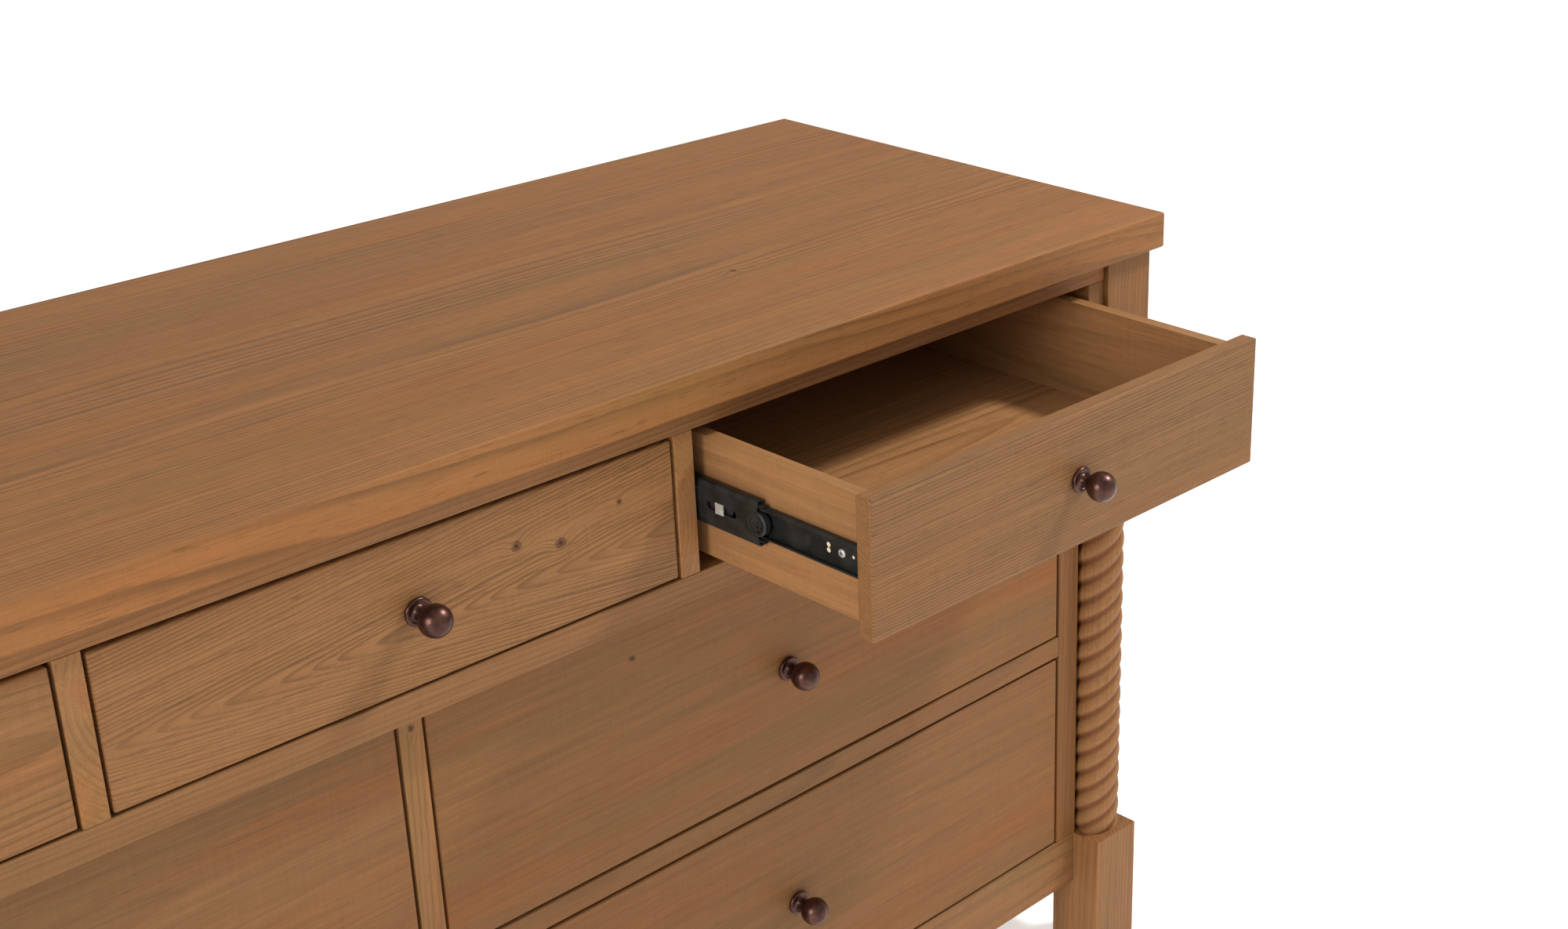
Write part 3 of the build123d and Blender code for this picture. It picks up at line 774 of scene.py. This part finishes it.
# %% Ball row tree
def row_tree():
    group = bpy.data.node_groups.new("set_out_in_rows", "GeometryNodeTree")
    face = group.interface
    face.new_socket("Geometry", in_out="INPUT", socket_type="NodeSocketGeometry")
    face.new_socket("Geometry", in_out="OUTPUT", socket_type="NodeSocketGeometry")
    face.new_socket("Pattern", in_out="INPUT", socket_type="NodeSocketObject")
    face.new_socket("Size", in_out="INPUT", socket_type="NodeSocketFloat").default_value = 1.0
    face.new_socket("Finish", in_out="INPUT", socket_type="NodeSocketMaterial")
    t = Tree(group)
    get = t.node("NodeGroupInput").outputs
    pattern = t.node("GeometryNodeObjectInfo", {"Object": get["Pattern"]}, transform_space="ORIGINAL")
    way = t.node("GeometryNodeInputNamedAttribute", {"Name": "way"}, data_type="FLOAT")
    turn = t.node("ShaderNodeCombineXYZ", {"Y": t.math("MULTIPLY", way.outputs[0], -math.pi / 2)})
    placed = t.node("GeometryNodeInstanceOnPoints", {
        "Points": get["Geometry"], "Instance": pattern.outputs["Geometry"],
        "Rotation": turn.outputs[0], "Scale": get["Size"]})
    real = t.node("GeometryNodeRealizeInstances", {"Geometry": placed.outputs[0]})
    painted = t.node("GeometryNodeSetMaterial", {"Geometry": real.outputs[0], "Material": get["Finish"]})
    t.node("NodeGroupOutput", {"Geometry": painted.outputs[0]})
    return group


def set_out(name, pattern, places, finish):
    """One mesh with the pattern at every place. A place is (point, way), way being -1 or 1 along X."""
    points = bpy.data.meshes.new(name + "_points")
    points.from_pydata([tuple(p) for p, _ in places], [], [])
    points.attributes.new("way", "FLOAT", "POINT").data.foreach_set("value", [float(w) for _, w in places])
    return grown(name, ROWS, {"Pattern": pattern, "Size": 1.0, "Finish": finish}, points)


def joined(piece, *others):
    """Adds other objects' meshes to a piece."""
    gathered = bmesh.new()
    finishes = list(piece.data.materials)
    for part in (piece, *others):
        start = len(gathered.faces)
        gathered.from_mesh(part.data)
        gathered.faces.ensure_lookup_table()
        own = [m for m in part.data.materials]
        for face in gathered.faces[start:]:
            material = own[face.material_index] if own else None
            if material not in finishes:
                finishes.append(material)
            face.material_index = finishes.index(material)
    mesh = bpy.data.meshes.new(piece.name)
    gathered.to_mesh(mesh)
    gathered.free()
    for material in finishes:
        mesh.materials.append(material)
    mesh.set_sharp_from_angle(angle=math.radians(40))
    piece.data = mesh
    for other in others:
        bpy.data.objects.remove(other)
    return piece


ROWS = row_tree()
BEARING = 1.6 * MM       # radius of a bearing ball
ball = Solid("ball_pattern", BRIGHT_ZINC)
belly = [(BEARING * math.cos(math.radians(d)), BEARING * math.sin(math.radians(d)))
         for d in (-60, -30, 0, 30, 60)]
ball.add(*turned([(0, -BEARING)] + belly + [(0, BEARING)], 10))
BALL = ball.finish(80)
screw = Solid("screw_pattern", BRIGHT_ZINC)
screw.add(*turned([(r * MM, d * MM) for r, d in screw_head(3.5, 1.6)], 24))
SCREW = screw.finish()
# dark bars on each screw head: painted shade of its cross recess
recess = Solid("recess_pattern", BLACK_PLASTIC_AND_SHADE)
for shell in crossed(1.7 * MM, 1.62 * MM, 0.7 * MM, 0.3 * MM):
    recess.add(*shell)
RECESS_SHADE = recess.finish()
print("row tree:", len(ROWS.nodes), "nodes")

# %% Outer channels
CASE_LENGTH = 400.0
BEHIND_FRONT = 3.0       # a shut slide starts this far behind the drawer's front
CASE_LEAD = 1.0          # the outer channel stands this far ahead of the middle one
outer = Solid("outer_channels", BLACK_STEEL)
for drawer in DRAWERS:
    low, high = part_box(f"{drawer}_mid_slides")
    front_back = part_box(f"{drawer}_front")[1].y
    # at rest the middle channel is drawn out half as far as the drawer
    drawn = low.y - front_back - BEHIND_FRONT * MM
    start = low.y + drawn - CASE_LEAD * MM
    level = (low.z + high.z) / 2
    for x, way in side_places(drawer):
        outer.add(*strip(CASE_CHANNEL, 0.0, CASE_LENGTH * MM), 0, at_side(x, way, start, level))
install(outer.finish(), "carcass", "slide_steel", "cabinet_slides")
print("outer channels:", 2 * len(DRAWERS))

# %% Middle channels
NOSE = 10.4              # radius of the round cage end
WEB_START = 9.0          # the steel starts this far behind the cage's tip
SLOT_AT, SLOT_LONG, SLOT_HIGH = 50.0, 34.0, 6.4
BALL_STEP, BALL_COUNT = 8.0, 9
for drawer in DRAWERS:
    low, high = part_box(f"{drawer}_mid_slides")
    level, length = (low.z + high.z) / 2, high.y - low.y
    piece = Solid(f"middle_channels_{drawer}", BLACK_STEEL)
    cutter = Solid("slot_cutter", BLACK_STEEL)
    extra = Solid("cage_and_tab", BLACK_PLASTIC_AND_SHADE, BRIGHT_ZINC)
    balls = []
    for x, way in side_places(drawer):
        put = at_side(x, way, low.y, level)
        piece.add(*strip(MIDDLE_CHANNEL, WEB_START * MM, length), 0, put)
        slot = [((SLOT_AT + y) * MM, z * MM) for y, z in oblong(SLOT_LONG, SLOT_HIGH)]
        cutter.add(*bar_along_x(slot, 1.5 * MM, 5.5 * MM), 0, put)
        # cage: a ribbed round nose, and a thin strip behind it
        nose = [(0, 2.8), (1.8, 2.8), (2.2, 3.8), (3.4, 3.8), (3.8, 2.6), (5.6, 2.6), (6.0, 3.8), (7.2, 3.8),
                (7.6, 2.4), (NOSE - 0.8, 2.4), (NOSE, 3.2), (NOSE, 8.2), (NOSE - 1, 9.0), (0, 9.0)]
        spin = Matrix.Translation((0, NOSE * MM, 0)) @ Matrix.Rotation(math.radians(90), 4, "Y")
        extra.add(*turned([(r * MM, d * MM) for r, d in nose], 36), 0, put @ spin)
        for up in (1, -1):
            rail = [(5.4, up * 14.6), (9.4, up * 14.6), (9.4, up * 15.6), (5.4, up * 15.6)]
            extra.add(*strip([(a * MM, b * MM) for a, b in rail], 4 * MM, 86 * MM), 0, put)
            hook = [(5.0, up * 13.7), (8.8, up * 13.7), (8.8, up * 15.0), (5.0, up * 15.0)]
            extra.add(*strip([(a * MM, b * MM) for a, b in hook], 5 * MM, 14 * MM), 0, put)
            balls += [(put @ Vector((7.4 * MM, (10 + i * BALL_STEP) * MM, up * 15.2 * MM)), way)
                      for i in range(1, BALL_COUNT)]
        tab = [(SLOT_AT + 2.0 + y, z) for y, z in ((-4.6, -4.6), (4.6, -4.6), (4.6, 4.6), (-4.6, 4.6))]
        extra.add(*bar_along_x([(y * MM, z * MM) for y, z in tab], 1.9 * MM, 2.7 * MM), 1, put)
        # a near-black oblong behind the slot: painted shade inside the slot
        slot_shade_plate = [(SLOT_AT + 3.0 + y, z) for y, z in oblong(SLOT_LONG - 6.0, 8.0)]
        extra.add(*bar_along_x([(y * MM, z * MM) for y, z in slot_shade_plate], 5.0 * MM, 5.6 * MM), 0, put)
    made = punched(piece.finish(), cutter.finish())
    made = joined(made, extra.finish(), set_out("balls", BALL, balls, BRIGHT_ZINC))
    install(made, f"{drawer}_runner", "slide_steel", f"{drawer}_mid_slides")
print("middle channels:", len(DRAWERS), "pairs")

# %% Drawer channels
SCREWS_AT = (24.0, 150.0, 330.0)
HOLES = ((39.0, 2.2, 2.2), (39.0, -2.2, 2.2), (12.6, 0.0, 1.5))     # distance, height, radius
for drawer in DRAWERS:
    low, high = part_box(f"{drawer}_slides")
    level, length = (low.z + high.z) / 2, high.y - low.y
    piece = Solid(f"drawer_channels_{drawer}", BLACK_STEEL)
    cutter = Solid("hole_cutter", BLACK_STEEL)
    pale_discs = Solid("bare_spots", PALE_HOLE_FILL)
    heads = []
    for x, way in side_places(drawer):
        put = at_side(x, way, low.y, level)
        piece.add(*strip(DRAWER_CHANNEL, 0.0, length), 0, put)
        for y, z, radius in HOLES:
            circle = arc((y, z), radius, 0, 337.5, 15)
            cutter.add(*bar_along_x([(a * MM, b * MM) for a, b in circle], 10.5 * MM, 13.5 * MM), 0, put)
            # a pale disc fills each hole, so the hole reads bright
            inner = arc((y, z), radius - 0.02, 0, 337.5, 15)
            pale_discs.add(*bar_along_x([(a * MM, b * MM) for a, b in inner], 12.0 * MM, 12.5 * MM), 0, put)
        heads += [(put @ Vector((11.5 * MM, y * MM, 0)), way) for y in SCREWS_AT]
    made = punched(piece.finish(), cutter.finish())
    screws = set_out("screws", SCREW, heads, BRIGHT_ZINC)
    recesses = set_out("recesses", RECESS_SHADE, heads, BLACK_PLASTIC_AND_SHADE)
    made = joined(made, pale_discs.finish(), screws, recesses)
    install(made, f"{drawer}_drawer", "slide_steel", f"{drawer}_slides")
print("drawer channels:", len(DRAWERS), "pairs, screws:", len(DRAWERS) * 2 * len(SCREWS_AT))
for pattern in (BALL, SCREW, RECESS_SHADE):
    bpy.data.objects.remove(pattern)

# %% [markdown]
# ## Room, light and camera
# A plain pale floor in a white room that lights the dresser evenly, a small key light high on the
# right that gives the knobs their slanting shadow, and a larger, weaker light from the left. The
# camera stands to the left of the open drawer, above the top, and looks down along the fronts.


# %% Floor
FLOOR_GLOW = 0.46        # keeps the pale floor from going grey at its far side


def pale_floor():
    mesh = bpy.data.meshes.new("floor")
    reach = 30.0
    corners = [(x * reach, y * reach, 0) for x, y in ((-1, -1), (1, -1), (1, 1), (-1, 1))]
    mesh.from_pydata(corners, [], [(0, 1, 2, 3)])
    floor = bpy.data.objects.new("floor", mesh)
    bpy.context.scene.collection.objects.link(floor)
    material = bpy.data.materials.new("pale_floor")
    material.use_nodes = True
    t = Tree(material.node_tree)
    shader = material.node_tree.nodes["Principled BSDF"]
    cloud = t.noise(t.spread(t.node("ShaderNodeTexCoord").outputs["Object"], 0.8, 0.8), 2.0)
    colour = t.mix(cloud, paint(244, 244, 243), paint(248, 248, 247))
    material.node_tree.links.new(colour, shader.inputs["Base Color"])
    shader.inputs["Emission Color"].default_value = (1.0, 1.0, 1.0, 1.0)
    shader.inputs["Emission Strength"].default_value = FLOOR_GLOW
    shader.inputs["Roughness"].default_value = 0.9
    shader.inputs["Specular IOR Level"].default_value = 0.1
    mesh.materials.append(material)
    return floor


pale_floor()
print("floor laid")

# %% Lights
TARGET = Vector((0.35, 0.0, 0.62))


def soft_light(name, toward, distance, size, power, colour=(1.0, 1.0, 1.0)):
    """A square area light that looks at the dresser from a direction."""
    data = bpy.data.lights.new(name, "AREA")
    data.shape, data.size, data.energy, data.color = "SQUARE", size, power, colour
    lamp = bpy.data.objects.new(name, data)
    away = Vector(toward).normalized()
    lamp.location = TARGET + away * distance
    lamp.rotation_euler = away.to_track_quat("Z", "Y").to_euler()
    bpy.context.scene.collection.objects.link(lamp)
    return lamp


soft_light("key", (0.595, -0.352, 0.722), 3.2, 0.38, 72.0, (1.0, 0.98, 0.95))
soft_light("left_fill", (-1.0, -0.20, 0.32), 3.2, 1.4, 54.0)
SKY_LIGHT = 0.60         # the light that the room gives; the wall itself is seen white
room = bpy.data.worlds.new("room")
room.use_nodes = True
sky = room.node_tree.nodes["Background"]
sky.inputs["Color"].default_value = (1.0, 0.995, 0.985, 1.0)
air = Tree(room.node_tree)
seen = air.node("ShaderNodeLightPath").outputs["Is Camera Ray"]
room.node_tree.links.new(air.ease(seen, 0.0, 1.0, SKY_LIGHT, 1.0), sky.inputs["Strength"])
bpy.context.scene.world = room
bpy.context.scene.view_settings.view_transform = "Standard"

# %% Camera
lens_data = bpy.data.cameras.new("camera")
lens_data.sensor_width, lens_data.lens = 36.0, 50.6
lens_data.shift_x = -0.15
lens_data.clip_start, lens_data.clip_end = 0.05, 100.0
camera = bpy.data.objects.new("camera", lens_data)
camera.location = (-0.741, -1.371, 1.390)
LOOK = Vector((0.68394, 0.61512, -0.39225))
ROLL = math.radians(0.135)
camera.rotation_mode = "QUATERNION"
camera.rotation_quaternion = LOOK.to_track_quat("-Z", "Y") @ Euler((0, 0, ROLL)).to_quaternion()
bpy.context.scene.collection.objects.link(camera)
bpy.context.scene.camera = camera
print("camera at", [round(v, 3) for v in camera.location])
